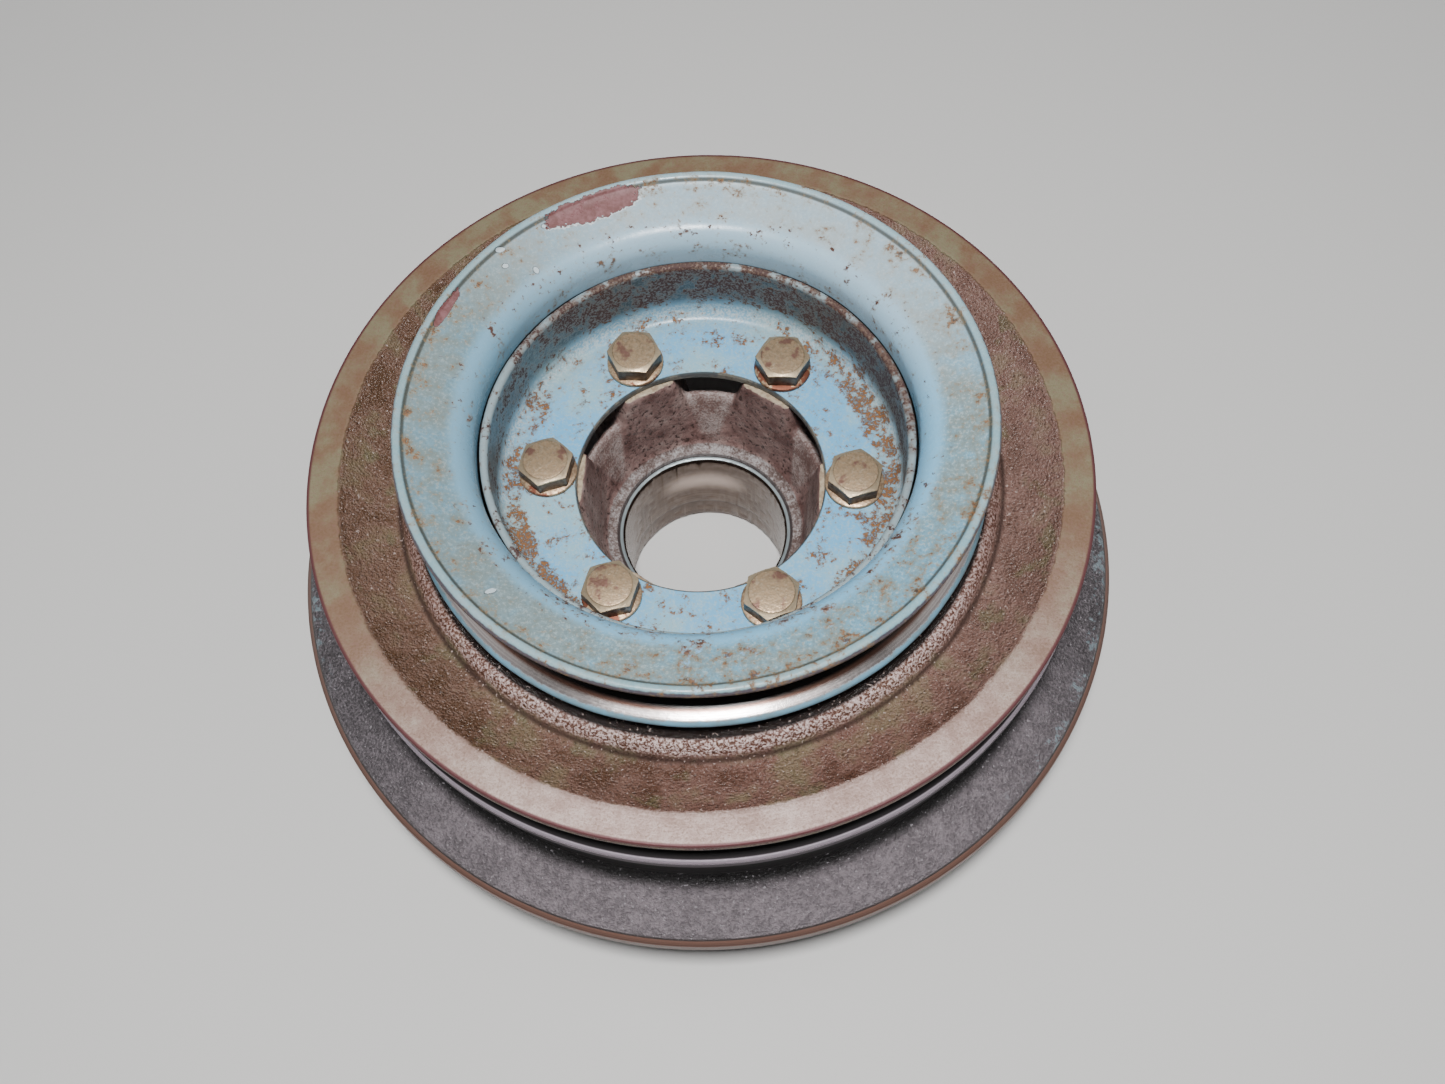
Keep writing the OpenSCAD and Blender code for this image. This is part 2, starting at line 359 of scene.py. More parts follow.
def toward(tree, coords, azimuth, start, end):
    """1 on the side of the part that faces an azimuth, 0 away from it; start and end are cosines."""
    angle = math.radians(azimuth)
    flat = add_node(tree, "ShaderNodeVectorMath", {0: coords, 1: (1, 1, 0)}, operation="MULTIPLY")
    unit = add_node(tree, "ShaderNodeVectorMath", {0: flat.outputs[0]}, operation="NORMALIZE")
    axis = (math.cos(angle), math.sin(angle), 0)
    dot = add_node(tree, "ShaderNodeVectorMath", {0: unit.outputs[0], 1: axis}, operation="DOT_PRODUCT")
    return fade(tree, dot.outputs["Value"], start, end)


def grain(tree, coords, size_mm, detail=2.0, rough=0.5, distort=0.0):
    """Noise whose features are about the given size."""
    inputs = {"Vector": coords, "Scale": 1 / (size_mm * MM), "Detail": detail}
    inputs.update({"Roughness": rough, "Distortion": distort})
    return add_node(tree, "ShaderNodeTexNoise", inputs).outputs["Fac"]


def turned_lines(tree, radius, height, size_mm):
    """Noise that only changes with radius and height, like the marks a lathe tool leaves."""
    section = add_node(tree, "ShaderNodeCombineXYZ", {0: radius, 1: height}).outputs[0]
    return grain(tree, section, size_mm, 2, 0.6)


def scratches(tree, coords, length_mm, width_mm, turn):
    """Fine straight scratches, in one direction."""
    stretch = {0: coords, 2: (0, 0, math.radians(turn)), 3: (length_mm / width_mm, 1, 1)}
    lined = add_node(tree, "ShaderNodeMapping", stretch, vector_type="TEXTURE").outputs[0]
    lines = grain(tree, lined, width_mm, 1, 0.4)
    return fade(tree, lines, 0.72, 0.78)


def fade(tree, value, start, end):
    """0 at start to 1 at end, held beyond them; start may be above end."""
    inputs = {"Value": value, "From Min": start, "From Max": end, "To Min": 0.0, "To Max": 1.0}
    return add_node(tree, "ShaderNodeMapRange", inputs, interpolation_type="SMOOTHSTEP").outputs["Result"]


def calc(tree, operation, a, b=0.0):
    """One step of arithmetic on two values or sockets."""
    return add_node(tree, "ShaderNodeMath", {0: a, 1: b}, operation=operation).outputs[0]


def both(tree, first, *masks):
    """Product of masks and shares: 1 only where all of them are."""
    for mask in masks:
        first = calc(tree, "MULTIPLY", first, mask)
    return first


def either(tree, first, *masks):
    """Largest of some masks."""
    for mask in masks:
        first = calc(tree, "MAXIMUM", first, mask)
    return first


def total(tree, *shares):
    """Sum of patterns, each given with its weight."""
    result = None
    for value, weight in shares:
        part = calc(tree, "MULTIPLY", value, weight)
        result = part if result is None else calc(tree, "ADD", result, part)
    return result


def above(tree, value, level_mm, soft_mm=0.2):
    """1 where a radius or height is above a level, with a soft edge."""
    return fade(tree, value, (level_mm - soft_mm) * MM, (level_mm + soft_mm) * MM)


def below(tree, value, level_mm, soft_mm=0.2):
    """1 where a radius or height is below a level, with a soft edge."""
    return fade(tree, value, (level_mm + soft_mm) * MM, (level_mm - soft_mm) * MM)


def between(tree, value, low, high, soft=0.2):
    """1 where a radius or height is between two levels, with soft edges."""
    return both(tree, above(tree, value, low, soft), below(tree, value, high, soft))


def jitter(tree, pattern, reach_mm):
    """A pattern centred on zero, which makes a border uneven."""
    return calc(tree, "MULTIPLY", calc(tree, "SUBTRACT", pattern, 0.5), reach_mm * MM)


def spot(tree, coords, place, half_size, turn, wobble, ragged):
    """Distance from a spot on the front face: below 1 inside an oval, with an uneven edge."""
    inputs = {0: coords, 1: (place[0] * MM, place[1] * MM, 0), 2: (0, 0, math.radians(turn))}
    inputs[3] = (half_size[0] * MM, half_size[1] * MM, 1)
    local = add_node(tree, "ShaderNodeMapping", inputs, vector_type="TEXTURE").outputs[0]
    distance = add_node(tree, "ShaderNodeVectorMath", {0: local}, operation="LENGTH").outputs["Value"]
    return calc(tree, "ADD", distance, calc(tree, "MULTIPLY", wobble, ragged))


def mix(tree, share, under, over):
    """One colour laid over another by a mask; each colour is a socket or a hex value."""
    sides = [c if isinstance(c, bpy.types.NodeSocket) else linear(c) for c in (under, over)]
    node = add_node(tree, "ShaderNodeMix", {0: share, 6: sides[0], 7: sides[1]}, data_type="RGBA")
    return node.outputs[2]


def blend(tree, share, under, over):
    """One value laid over another by a mask."""
    node = add_node(tree, "ShaderNodeMix", {0: share, 2: under, 3: over}, data_type="FLOAT")
    return node.outputs[0]


def tones(tree, value, *stops):
    """A colour for each level of a pattern."""
    return add_node(tree, "ShaderNodeValToRGB", {"Fac": value}, stops=stops).outputs["Color"]


def relief(tree, height, depth_mm):
    """Fine bumps from a pattern, on top of the modelled relief."""
    inputs = {"Strength": 1.0, "Distance": depth_mm * MM, "Height": height}
    return add_node(tree, "ShaderNodeBump", inputs).outputs[0]


def cast_iron():
    """Oiled grey iron, sand cast and turned: brown skin with painted glints, tan where faced, bare on the
    ridge.
    """
    material, tree, shader = new_material("oiled_cast_iron")
    coords, radius, height = where(tree)
    broad = grain(tree, coords, 24, 3, 0.6)
    patch = grain(tree, coords, 6, 4, 0.65)
    sand = grain(tree, coords, 1.3, 3, 0.6)
    fine = grain(tree, coords, 0.5, 2, 0.6)
    lathe = turned_lines(tree, radius, height, 0.5)
    left = toward(tree, coords, 185, -0.2, 0.9)
    # The lower side, where the painted sheen and painted glints are strongest
    low = toward(tree, coords, -80, 0.25, 0.98)

    # Skin in the dish and on the boss ring: dark oil and rust, with greyer olive patches
    oil = total(tree, (broad, 0.5), (patch, 0.5))
    skin = tones(tree, oil, (0.38, "#573a2e"), (0.5, "#74544a"), (0.6, "#77654f"))
    skin = mix(tree, both(tree, left, 0.35), skin, "#5a4a30")
    skin = mix(tree, both(tree, toward(tree, coords, 15, 0.2, 0.95), 0.3), skin, "#8a7068")
    olive = fade(tree, grain(tree, coords, 9, 3, 0.6), 0.56, 0.66)
    skin = mix(tree, both(tree, olive, 0.6), skin, "#666246")
    skin = mix(tree, both(tree, fade(tree, fine, 0.55, 0.72), 0.6), skin, "#8f7268")
    skin = mix(tree, both(tree, fade(tree, fine, 0.44, 0.3), 0.7), skin, "#33201a")
    foot = between(tree, radius, BOSS_OUT_R + 0.7, BOSS_OUT_R + 1.6, 0.45)
    # Dark dirt and painted shade in the fillet at the boss's foot
    skin = mix(tree, both(tree, foot, 0.8), skin, "#2d1811")
    crest = below(tree, radius, BOSS_OUT_R + 0.3, 0.5)
    crest_tone = tones(tree, fine, (0.4, "#5c3a2f"), (0.6, "#9a7469"))
    skin = mix(tree, both(tree, crest, 0.75), skin, crest_tone)
    # Painted highlight: pale glints on the boss crest, stronger on the lower side
    painted_crest_glitter = both(tree, blend(tree, low, 0.3, 1.0), fade(tree, fine, 0.42, 0.64))
    skin = mix(tree, both(tree, painted_crest_glitter, crest, 0.85), skin, "#ecd6d3")
    # Painted shadow: near black on the crest's inner part, where the rear sheave's lip shades it
    skin = mix(tree, below(tree, radius, BOSS_OUT_R - 2, 0.4), skin, "#1d1310")
    # Painted glints: pale specks over the sand skin, standing for its sparkle under the light
    painted_sparkle = fade(tree, grain(tree, coords, 0.6, 1, 0.4), 0.68, 0.75)
    skin = mix(tree, both(tree, painted_sparkle, 0.6), skin, "#c9b5ae")

    # Faced band: pinkish tan on the lower side, browner and greener with stain elsewhere; the paler lower
    # side is partly a painted sheen
    mottle = total(tree, (fine, 0.6), (patch, 0.4))
    faced = tones(tree, mottle, (0.38, "#93796f"), (0.5, "#b49a93"), (0.6, "#c9b3ad"))
    cloud = total(tree, (broad, 0.4), (patch, 0.6))
    stain = tones(tree, cloud, (0.42, "#715539"), (0.5, "#736143"), (0.58, "#74704f"))
    flecks = fade(tree, total(tree, (fine, 0.6), (sand, 0.4)), 0.52, 0.6)
    faced = mix(tree, blend(tree, low, 0.85, 0.1), faced, stain)
    faced = mix(tree, both(tree, flecks, 0.5), faced, "#7d5a4e")
    faced = mix(tree, above(tree, radius, RIM_R - 0.65, 0.2), faced, "#5e3436")
    band_edge = calc(tree, "ADD", radius, jitter(tree, sand, 1.1))
    band = above(tree, band_edge, BAND_IN_R - 0.1, 0.25)
    front_face = both(tree, band, above(tree, height, RIM_FACE_Z - 0.8, 0.2))

    # Belt grooves and the rear land under the ridge: painted shade makes them nearly black, with a bare and
    # streaked front edge on the ridge between the grooves
    flank = calc(tree, "MULTIPLY", calc(tree, "SUBTRACT", radius, RIM_R * MM), GROOVE_SLOPE)
    front_flank_z = calc(tree, "ADD", flank, (LAND_Z + 0.3) * MM)
    in_groove = fade(tree, calc(tree, "SUBTRACT", front_flank_z, height), -0.1 * MM, 0.1 * MM)
    in_groove = both(tree, in_groove, above(tree, radius, RIM_R - GROOVE_DEPTH - 3, 0.3))
    in_groove = both(tree, in_groove, above(tree, height, REAR_LAND_Z - 0.7, 0.4))
    groove_tone = mix(tree, above(tree, radius, RIM_R - 1, 0.5), "#141112", "#2d272a")
    ridge = between(tree, height, RIDGE_BOTTOM_Z - 0.2, RIDGE_TOP_Z + 0.3, 0.2)
    ridge = both(tree, above(tree, radius, RIM_R - 0.5, 0.2), ridge)
    groove_tone = mix(tree, ridge, groove_tone, "#5b5359")
    bare = both(tree, ridge, above(tree, height, RIDGE_TOP_Z - 1.4, 0.3))
    streaked = mix(tree, fade(tree, lathe, 0.35, 0.65), "#cdc0cc", "#8c7d8b")
    groove_tone = mix(tree, bare, groove_tone, streaked)

    # Rear disc: black-grey sand skin, brown turned edge, traces of stray blue paint at two sides, a painted
    # sheen on the lower side and a painted shadow near the rear land
    disc = below(tree, height, REAR_LAND_Z - 0.1, 0.6)
    disc_tone = tones(tree, mottle, (0.38, "#2f2b2e"), (0.5, "#494447"), (0.6, "#676065"))
    clumps = fade(tree, total(tree, (sand, 0.55), (patch, 0.25), (fine, 0.2)), 0.45, 0.57)
    # Painted sheen: paler grey clumps on the disc's lower side
    disc_tone = mix(tree, both(tree, low, blend(tree, clumps, 0.4, 0.75)), disc_tone, "#887e83")
    # Painted shadow: near black on the disc next to the rear land, cast by the ridge
    disc_tone = mix(tree, below(tree, radius, REAR_LAND_R + 2.4, 1.6), disc_tone, "#100d0e")
    sides = either(tree, toward(tree, coords, 178, 0.86, 0.96), toward(tree, coords, -12, 0.84, 0.95))
    drift = fade(tree, total(tree, (patch, 0.5), (sand, 0.5)), 0.52, 0.58)
    traces = both(tree, sides, between(tree, radius, DISC_R - 4, DISC_R - 1, 0.5), drift)
    # Painted glints: pale specks over the disc's sand skin
    disc_tone = mix(tree, both(tree, painted_sparkle, 0.6), disc_tone, "#a39da2")
    disc_tone = mix(tree, both(tree, traces, 0.45), disc_tone, "#8aa3ab")
    edge_tone = mix(tree, fade(tree, lathe, 0.4, 0.7), "#6d5046", "#493630")
    turned_edge = above(tree, radius, DISC_R - 1.2)
    disc_tone = mix(tree, turned_edge, disc_tone, edge_tone)

    colour = mix(tree, front_face, skin, faced)
    colour = mix(tree, in_groove, colour, groove_tone)
    colour = mix(tree, disc, colour, disc_tone)
    roughness = blend(tree, fade(tree, patch, 0.35, 0.65), 0.26, 0.42)
    roughness = blend(tree, both(tree, crest, 0.8), roughness, 0.22)
    roughness = blend(tree, foot, roughness, 0.9)
    roughness = blend(tree, front_face, roughness, 0.5)
    roughness = blend(tree, in_groove, roughness, 0.8)
    roughness = blend(tree, bare, roughness, 0.24)
    roughness = blend(tree, disc, roughness, 0.42)
    metallic = either(tree, both(tree, bare, in_groove, 0.5), both(tree, front_face, 0.2))
    cut = either(tree, front_face, in_groove, both(tree, disc, turned_edge))
    skin_height = total(tree, (sand, 0.5), (fine, 0.75))
    cut_height = total(tree, (lathe, 0.05), (fine, 0.06))
    normal = relief(tree, blend(tree, cut, skin_height, cut_height), 0.85)
    wire(tree, shader, colour, roughness, metallic, normal)
    return material


def hub_iron():
    """Grey iron, cast and bored: dull grey-brown skin, a browned polished bore with a painted highlight, tan
    faced pads.
    """
    material, tree, shader = new_material("bored_cast_iron")
    coords, radius, height = where(tree)
    broad = grain(tree, coords, 14, 3, 0.6)
    patch = grain(tree, coords, 4, 4, 0.65)
    sand = grain(tree, coords, 0.9, 3, 0.6)
    fine = grain(tree, coords, 0.4, 2, 0.5)
    lathe = turned_lines(tree, radius, height, 0.6)
    cloud = total(tree, (broad, 0.5), (patch, 0.5))
    skin = tones(tree, cloud, (0.4, "#664b47"), (0.5, "#866b66"), (0.6, "#9d8781"))
    skin = mix(tree, fade(tree, sand, 0.46, 0.34), skin, "#40302d")
    # The hollows between the arms are a fan, wider at the top, paler and pinker on their grain
    east, north, _up = add_node(tree, "ShaderNodeSeparateXYZ", {0: coords}).outputs
    sixfold = calc(tree, "COSINE", calc(tree, "MULTIPLY", calc(tree, "ARCTAN2", north, east), 6.0))
    flare = calc(tree, "MULTIPLY", calc(tree, "SUBTRACT", height, 41 * MM), 53.6)
    hollow = fade(tree, calc(tree, "SUBTRACT", sixfold, flare), -0.2, -0.42)
    hollow = both(tree, hollow, above(tree, height, HUB_LEN + 1, 0.5))
    hollow_tone = tones(tree, total(tree, (patch, 0.5), (fine, 0.5)), (0.42, "#6f5650"), (0.58, "#a59894"))
    skin = mix(tree, both(tree, hollow, 0.8), skin, hollow_tone)
    # Casting seams: thin dark lines along one level of a twisted noise
    twisted = grain(tree, coords, 5, 3, 0.7, 1.5)
    veins = both(tree, fade(tree, twisted, 0.492, 0.5), fade(tree, twisted, 0.508, 0.5))
    skin = mix(tree, both(tree, veins, below(tree, height, 40, 2), 0.7), skin, "#241a18")

    bore = below(tree, radius, LEAD_R + 0.15, 0.06)
    bore_grain = total(tree, (patch, 0.5), (lathe, 0.5))
    bore_tone = tones(tree, bore_grain, (0.38, "#54473f"), (0.5, "#63544b"), (0.62, "#726359"))
    # Painted highlight: a bright patch on the bore's far wall
    painted_bore_glint = both(tree, toward(tree, coords, 95, 0.8, 0.998), between(tree, height, 16, 18.5, 4))
    bore_tone = mix(tree, painted_bore_glint, bore_tone, "#f0dcd0")
    lead_step = between(tree, height, LEAD_LEN - 0.15, LEAD_LEN + 0.25, 0.1)
    bore_tone = mix(tree, lead_step, bore_tone, "#3c2f2a")
    ring = between(tree, height, HUB_LEN - 2, HUB_LEN + 1.4)
    ring = both(tree, ring, below(tree, radius, RING_OUT_R, 0.2))
    ring_grain = total(tree, (patch, 0.4), (sand, 0.3), (fine, 0.3))
    ring_tone = tones(tree, ring_grain, (0.43, "#55443f"), (0.5, "#786c69"), (0.57, "#979190"))
    ring_step = between(tree, radius, RING_STEP_R - 0.1, RING_STEP_R + 0.5, 0.15)
    ring_tone = mix(tree, ring_step, ring_tone, "#362d2c")
    seat = below(tree, radius, RING_STEP_R - 0.1, 0.1)
    ring_tone = mix(tree, seat, ring_tone, "#9aa5a8")
    pads = above(tree, height, PAD_Z - 0.15, 0.1)
    pad_tone = mix(tree, fade(tree, sand, 0.4, 0.65), "#b5a58c", "#97826c")

    colour = mix(tree, ring, skin, ring_tone)
    colour = mix(tree, bore, colour, bore_tone)
    colour = mix(tree, pads, colour, pad_tone)
    bright = both(tree, ring, seat)
    cut = either(tree, bore, bright, pads)
    metallic = either(tree, both(tree, bore, 0.92), both(tree, bright, 0.6))
    roughness = blend(tree, cut, 0.5, 0.4)
    roughness = blend(tree, bore, roughness, blend(tree, lathe, 0.2, 0.3))
    skin_height = total(tree, (sand, 0.6), (fine, 0.3))
    normal = relief(tree, blend(tree, cut, skin_height, both(tree, lathe, 0.06)), 0.4)
    wire(tree, shader, colour, roughness, metallic, normal)
    return material


def rust_tone(tree, fine):
    """Dark brown to orange, as dry rust on sheet is."""
    return tones(tree, fine, (0.42, "#2e1b14"), (0.5, "#573522"), (0.58, "#855a32"))


def front_enamel(fresh, faded):
    """Stoved enamel on pressed mild steel: sun-faded, grimed, chipped to its primer, freckled with rust."""
    material, tree, shader = new_material("faded_stoved_enamel")
    coords, radius, height = where(tree)
    broad = grain(tree, coords, 20, 4, 0.6)
    patch = grain(tree, coords, 5, 4, 0.65)
    speck = grain(tree, coords, 1.5, 4, 0.65)
    fine = grain(tree, coords, 0.6, 3, 0.65)
    mottle = total(tree, (broad, 0.55), (patch, 0.45))
    paint = mix(tree, fade(tree, mottle, 0.38, 0.56), fresh, faded)
    grime = fade(tree, total(tree, (patch, 0.4), (speck, 0.25), (fine, 0.35)), 0.46, 0.56)
    paint = mix(tree, both(tree, grime, 0.6), paint, "#6d7264")
    paint = mix(tree, both(tree, fade(tree, fine, 0.52, 0.62), 0.6), paint, "#b2c6cc")
    paint = mix(tree, both(tree, fade(tree, fine, 0.46, 0.38), 0.35), paint, "#5c6a6c")
    paint = mix(tree, both(tree, below(tree, radius, NECK_R + 3.8, 1.2), 0.85), paint, "#82c2e6")
    # Painted highlight: a broad pale sheen over the flange's far side
    upper = both(tree, toward(tree, coords, 80, 0.1, 0.9), 0.55)
    paint = mix(tree, upper, paint, "#c3d2da")
    west = both(tree, toward(tree, coords, 185, 0.2, 0.9), 0.4)
    paint = mix(tree, west, paint, "#6f7c7d")
    clean = both(tree, toward(tree, coords, -75, 0.86, 0.97), fade(tree, patch, 0.58, 0.64))
    paint = mix(tree, clean, paint, "#86b9dc")
    lines = scratches(tree, coords, 5, 0.35, 20)
    lines = both(tree, lines, toward(tree, coords, 195, 0.6, 0.9), fade(tree, broad, 0.45, 0.55))
    paint = mix(tree, both(tree, lines, 0.6), paint, "#5b4c58")

    # The rolled lip is cleaner than the flank, with a dark line in its crease and a dark worn outer edge
    lip = above(tree, radius, CREASE_R + 0.4, 0.15)
    lip_tone = mix(tree, fade(tree, patch, 0.4, 0.6), "#8fb4bb", "#9dbcc6")
    paint = mix(tree, both(tree, lip, 0.6), paint, lip_tone)
    crease = between(tree, radius, CREASE_R - 0.25, CREASE_R + 0.35, 0.2)
    crease = both(tree, crease, above(tree, height, TOTAL_H - 3, 0.5))
    paint = mix(tree, both(tree, crease, 0.85), paint, "#3b3a30")
    outer = above(tree, calc(tree, "ADD", radius, both(tree, speck, 0.5 * MM)), SHEAVE_R - 0.15, 0.15)
    paint = mix(tree, both(tree, outer, 0.9), paint, "#4a3640")
    flank_foot_z = TOTAL_H - FLANK_DROP - CREASE_R * GROOVE_SLOPE
    flank_z = calc(tree, "ADD", calc(tree, "MULTIPLY", radius, GROOVE_SLOPE), flank_foot_z * MM)
    groove_face_shade = above(tree, calc(tree, "SUBTRACT", flank_z, height), SHEET_T / 2, 0.2)
    # Painted shade: dark brown on the flank's underside, which faces into the belt groove
    paint = mix(tree, both(tree, groove_face_shade, above(tree, radius, 49.5, 0.5)), paint, "#2c1f1c")
    # Painted shade: near black low on the neck, next to the cup's edge
    gap_shade = both(tree, below(tree, radius, NECK_R + 0.8, 0.3), below(tree, height, CUP_HIGH.z - 0.8, 0.2))

    # Rust: fine freckles everywhere, blotches along the crease and on the lower side
    near_crease = both(tree, between(tree, radius, CREASE_R - 2.2, CREASE_R + 0.2, 0.9), 0.03)
    low_side = both(tree, toward(tree, coords, -62, 0.55, 0.95), 0.03)
    field = total(tree, (patch, 0.4), (speck, 0.35), (fine, 0.25))
    field = calc(tree, "ADD", field, calc(tree, "ADD", near_crease, low_side))
    rust = both(tree, fade(tree, field, 0.57, 0.63), 0.85)
    halo = both(tree, fade(tree, field, 0.52, 0.6), 0.5)
    dark_spots = fade(tree, total(tree, (speck, 0.7), (patch, 0.3)), 0.58, 0.62)
    dark_spots = both(tree, between(tree, radius, NECK_R + 0.6, NECK_R + 5.2, 0.8), dark_spots)
    colour = mix(tree, halo, paint, "#94805f")
    colour = mix(tree, rust, colour, rust_tone(tree, fine))
    colour = mix(tree, dark_spots, colour, "#54382e")

    # Two chips through to the brown primer, with a pale broken edge
    wobble = calc(tree, "SUBTRACT", total(tree, (patch, 0.6), (speck, 0.4)), 0.5)
    large = spot(tree, coords, (-23.4, 47.6), (10.3, 2.5), 206.5, wobble, 1.6)
    small = spot(tree, coords, (-50.2, 20.7), (4.8, 0.9), 247.6, wobble, 1.8)
    broken_edge = both(tree, fade(tree, large, 1.14, 1.05), below(tree, radius, CREASE_R - 1.4, 0.8))
    chip = either(tree, fade(tree, large, 1.03, 0.98), fade(tree, small, 1.03, 0.95))
    colour = mix(tree, broken_edge, colour, "#d5dde0")
    dings = None
    for place, size in DINGS:
        ding = fade(tree, spot(tree, coords, place, size, 30, wobble, 1.2), 1.0, 0.7)
        dings = ding if dings is None else either(tree, dings, ding)
    colour = mix(tree, both(tree, dings, 0.7), colour, "#d3e0e6")
    colour = mix(tree, chip, colour, tones(tree, speck, (0.4, "#6b403e"), (0.6, "#83585a")))
    colour = mix(tree, gap_shade, colour, "#0d0a0a")

    roughness = blend(tree, fade(tree, mottle, 0.4, 0.6), 0.26, 0.42)
    roughness = blend(tree, either(tree, rust, dark_spots, crease), roughness, 0.75)
    roughness = blend(tree, chip, roughness, 0.55)
    surface = total(tree, (rust, 0.5), (fine, 0.12), (speck, 0.25), (chip, -1.2), (dings, -2.5))
    wire(tree, shader, colour, roughness, None, relief(tree, surface, 0.14))
    return material


def cup_enamel(fresh):
    """Stoved enamel in a deep-drawn cup: clean and half glossy on the web, grimed and flaking on the wall."""
    material, tree, shader = new_material("stoved_enamel_cup")
    coords, radius, height = where(tree)
    broad = grain(tree, coords, 16, 4, 0.6)
    patch = grain(tree, coords, 4.5, 4, 0.65)
    speck = grain(tree, coords, 1.3, 4, 0.65)
    fine = grain(tree, coords, 0.5, 2, 0.6)
    paint = mix(tree, fade(tree, broad, 0.4, 0.62), fresh, "#93bccd")
    paint = mix(tree, both(tree, fade(tree, fine, 0.5, 0.64), 0.35), paint, "#b7c9cc")
    paint = mix(tree, both(tree, above(tree, radius, CUP_R - 6, 2.0), 0.45), paint, "#8f9b8f")
    wall = above(tree, height, PAD_Z + 6.5, 2.0)
    wall_grain = total(tree, (patch, 0.5), (speck, 0.25), (fine, 0.25))
    grime = tones(tree, wall_grain, (0.4, "#34393b"), (0.5, "#5d727c"), (0.6, "#86a5b2"))
    paint = mix(tree, both(tree, wall, 0.95), paint, grime)
    # Worn pale paint and a painted highlight round the web's bend
    bend = between(tree, height, WEB_TOP_Z + 0.4, WEB_TOP_Z + 3.4, 0.8)
    paint = mix(tree, both(tree, bend, fade(tree, fine, 0.4, 0.6), 0.8), paint, "#c3ced1")
    edge = above(tree, height, CUP_HIGH.z - 0.8, 0.3)
    upper = toward(tree, coords, 72, -0.2, 0.8)
    # Painted highlight: a pale line along the cup's rounded edge
    paint = mix(tree, both(tree, edge, 0.7), paint, "#9fb1b6")
    paint = mix(tree, both(tree, edge, upper, fade(tree, patch, 0.36, 0.5)), paint, "#5c4037")
    # Painted shade: near black on the outside of the cup's edge, in the gap to the neck
    gap_shade = both(tree, above(tree, radius, CUP_R - 0.25, 0.1), above(tree, height, CUP_HIGH.z - 3, 0.5))
    paint = mix(tree, gap_shade, paint, "#0d0a0a")

    right = toward(tree, coords, 0, 0.2, 0.95)
    left = toward(tree, coords, 205, 0.5, 0.95)
    field = total(tree, (patch, 0.5), (speck, 0.3), (fine, 0.2))
    flakes = calc(tree, "ADD", field, both(tree, wall, calc(tree, "ADD", both(tree, upper, 0.065), 0.02)))
    bend_ring = between(tree, radius, CUP_R - 7, CUP_R - 2.3, 1.2)
    bend_flakes = calc(tree, "ADD", both(tree, either(tree, right, left), 0.075), 0.015)
    flakes = calc(tree, "ADD", flakes, both(tree, bend_ring, bend_flakes))
    rust = both(tree, fade(tree, flakes, 0.55, 0.61), blend(tree, fade(tree, fine, 0.4, 0.54), 0.35, 1.0))
    freckles = both(tree, fade(tree, total(tree, (speck, 0.6), (fine, 0.4)), 0.64, 0.68), 0.8)
    colour = mix(tree, both(tree, fade(tree, flakes, 0.51, 0.59), 0.5), paint, "#86735f")
    colour = mix(tree, rust, colour, mix(tree, wall, rust_tone(tree, fine), "#4c3430"))
    colour = mix(tree, freckles, colour, rust_tone(tree, fine))
    cut_edge = below(tree, radius, WEB_HOLE_R + 0.35, 0.15)
    colour = mix(tree, cut_edge, colour, mix(tree, fade(tree, patch, 0.45, 0.6), "#474b4d", "#6e6a60"))

    roughness = blend(tree, wall, 0.3, 0.4)
    roughness = blend(tree, either(tree, rust, freckles), roughness, 0.7)
    surface = total(tree, (rust, 0.6), (fine, 0.15), (both(tree, either(tree, wall, bend), speck), 0.6))
    wire(tree, shader, colour, roughness, None, relief(tree, surface, 0.16))
    return material


def rear_enamel(fresh):
    """Pressed mild steel whose enamel a belt has worn off the flank, leaving it bare and polished, with a
    painted shadow of the front lip on its inner part.
    """
    material, tree, shader = new_material("belt_worn_enamel")
    coords, radius, height = where(tree)
    patch = grain(tree, coords, 5, 4, 0.65)
    speck = grain(tree, coords, 1.2, 3, 0.6)
    fine = grain(tree, coords, 0.5, 2, 0.6)
    lathe = turned_lines(tree, radius, height, 0.5)
    paint = mix(tree, fade(tree, patch, 0.4, 0.62), fresh, "#7593a0")
    worn_r = calc(tree, "ADD", radius, jitter(tree, speck, 0.9))
    front = above(tree, height, REAR_LIP_Z + 0.3, 0.15)
    bare = both(tree, between(tree, worn_r, NECK_R + 3.1, SHEAVE_R - 0.7, 0.25), front)
    steel = mix(tree, fade(tree, lathe, 0.35, 0.65), "#c9c2bf", "#a59c9b")
    # Painted shadow of the front lip on the bare flank: brown at its edge, near black further in
    steel = mix(tree, below(tree, radius, CREASE_R, 0.5), steel, "#80594a")
    steel = mix(tree, below(tree, radius, CREASE_R - 0.9, 0.4), steel, "#1d1716")
    colour = mix(tree, bare, paint, steel)
    root = both(tree, below(tree, radius, NECK_R + 3.8, 0.4), front)
    colour = mix(tree, root, colour, "#3a2a22")
    roughness = blend(tree, bare, 0.35, blend(tree, fine, 0.16, 0.3))
    metallic = both(tree, bare, above(tree, radius, CREASE_R - 0.4, 0.5), 0.95)
    surface = total(tree, (lathe, 0.1), (speck, 0.2))
    wire(tree, shader, colour, roughness, metallic, relief(tree, surface, 0.1))
    return material


